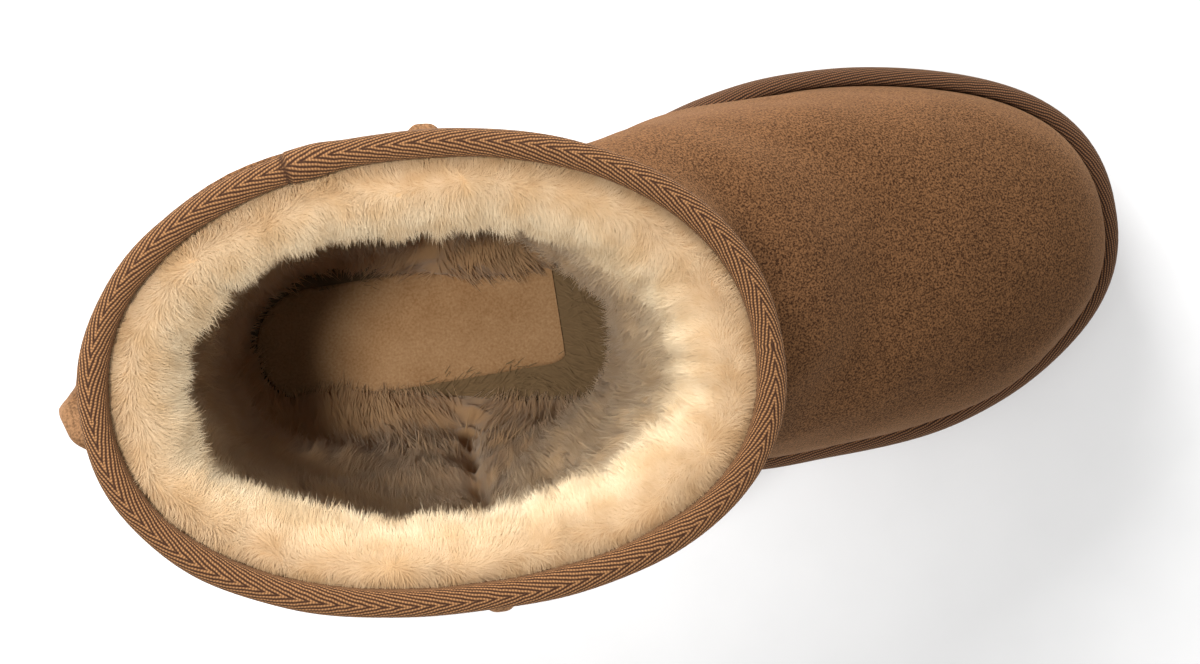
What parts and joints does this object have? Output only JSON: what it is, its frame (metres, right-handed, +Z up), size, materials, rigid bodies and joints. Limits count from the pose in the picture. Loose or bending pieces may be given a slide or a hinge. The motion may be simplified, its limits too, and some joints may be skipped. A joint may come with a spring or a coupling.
{
  "type": "sheepskin boot",
  "caption": "Short pull-on sheepskin boot for the right foot: suede outside, deep fleece inside, woven tape at collar and sole, light moulded outsole.",
  "frame": {"origin": "middle of the boot's box, on the floor", "axes": "+X from heel to toe, +Y to the inner side of the foot, +Z up"},
  "size_m": [0.2698, 0.1092, 0.212],
  "materials": {
    "suede": "napped suede",
    "twill_tape": "woven herringbone and twill tape",
    "fleece": "deep natural wool pile",
    "tan_suede": "brushed suede",
    "moulded_sole": "matt moulded foam rubber"
  },
  "bodies": {
    "root": {"outsole": "moulded_sole", "sole_binding": "twill_tape", "upper": "suede", "heel_counter": "suede", "collar_binding": "twill_tape", "fleece_lining": "fleece", "insole": "fleece", "insole_patch": "tan_suede"}
  },
  "joints": []
}
